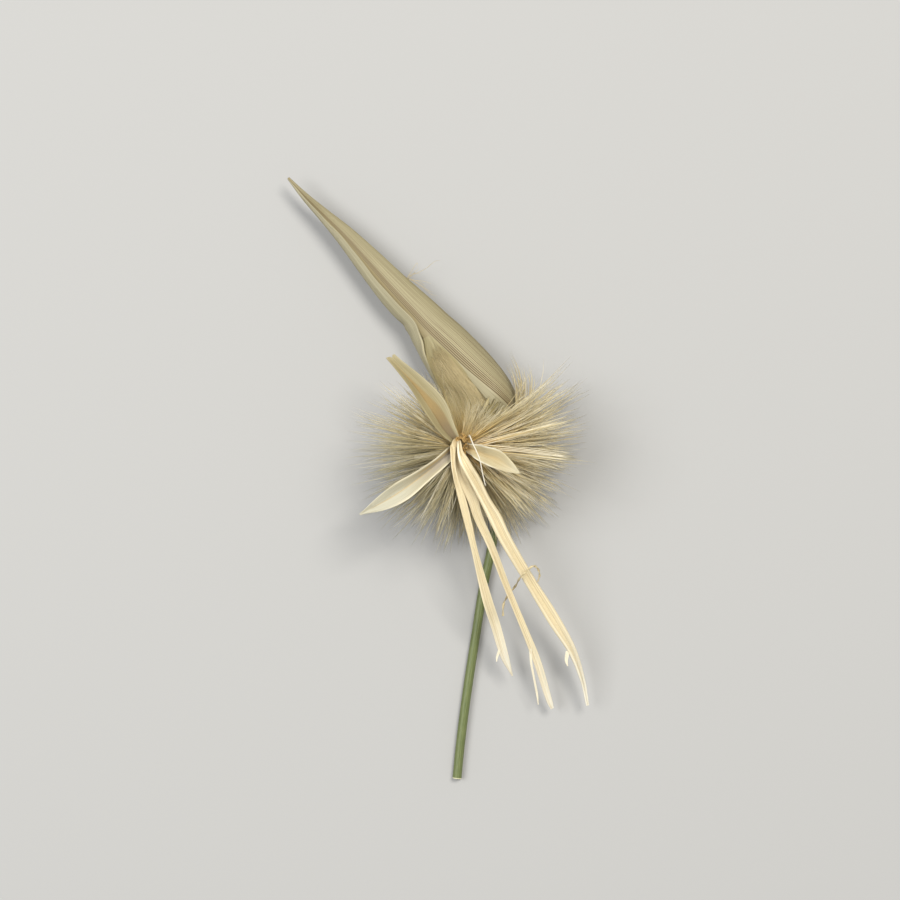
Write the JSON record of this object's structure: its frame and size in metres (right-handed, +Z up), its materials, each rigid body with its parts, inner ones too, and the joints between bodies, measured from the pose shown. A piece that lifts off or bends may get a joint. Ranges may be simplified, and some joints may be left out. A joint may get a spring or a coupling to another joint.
{
  "type": "dried grass flower head",
  "caption": "Dry flowering head of a wiry grass, picked and lying down: a long papery hood beside a globe of silky hairs, with pale bracts and straps spreading from its mouth.",
  "frame": {"origin": "on the resting surface, under the joint of the culm and the spathe, where the spathe's back lies flat", "axes": "+Z up off the resting surface; -Y along the culm towards its cut end; +X to the side that the spathe's rolled margin is on, with the spathe's tip towards +Y and -X"},
  "size_m": [0.0347, 0.0684, 0.0159],
  "materials": {
    "green_culm": "satin",
    "spathe_straw": "satin",
    "silky_hair": "satin",
    "lemma_straw": "satin",
    "palea_straw": "satin",
    "thread": "satin",
    "dried_brown": "matte"
  },
  "bodies": {
    "root": {"culm": "green_culm", "spathe": "spathe_straw", "floret_tube_hairs": "silky_hair", "lemma_upper_left": "lemma_straw", "lemma_lower_left": "lemma_straw", "lemma_right": "lemma_straw", "palea_left": "palea_straw", "palea_middle": "palea_straw", "palea_right": "palea_straw", "stamen_filament": "thread", "style_thread": "thread", "anther_remains": "dried_brown"}
  },
  "joints": []
}
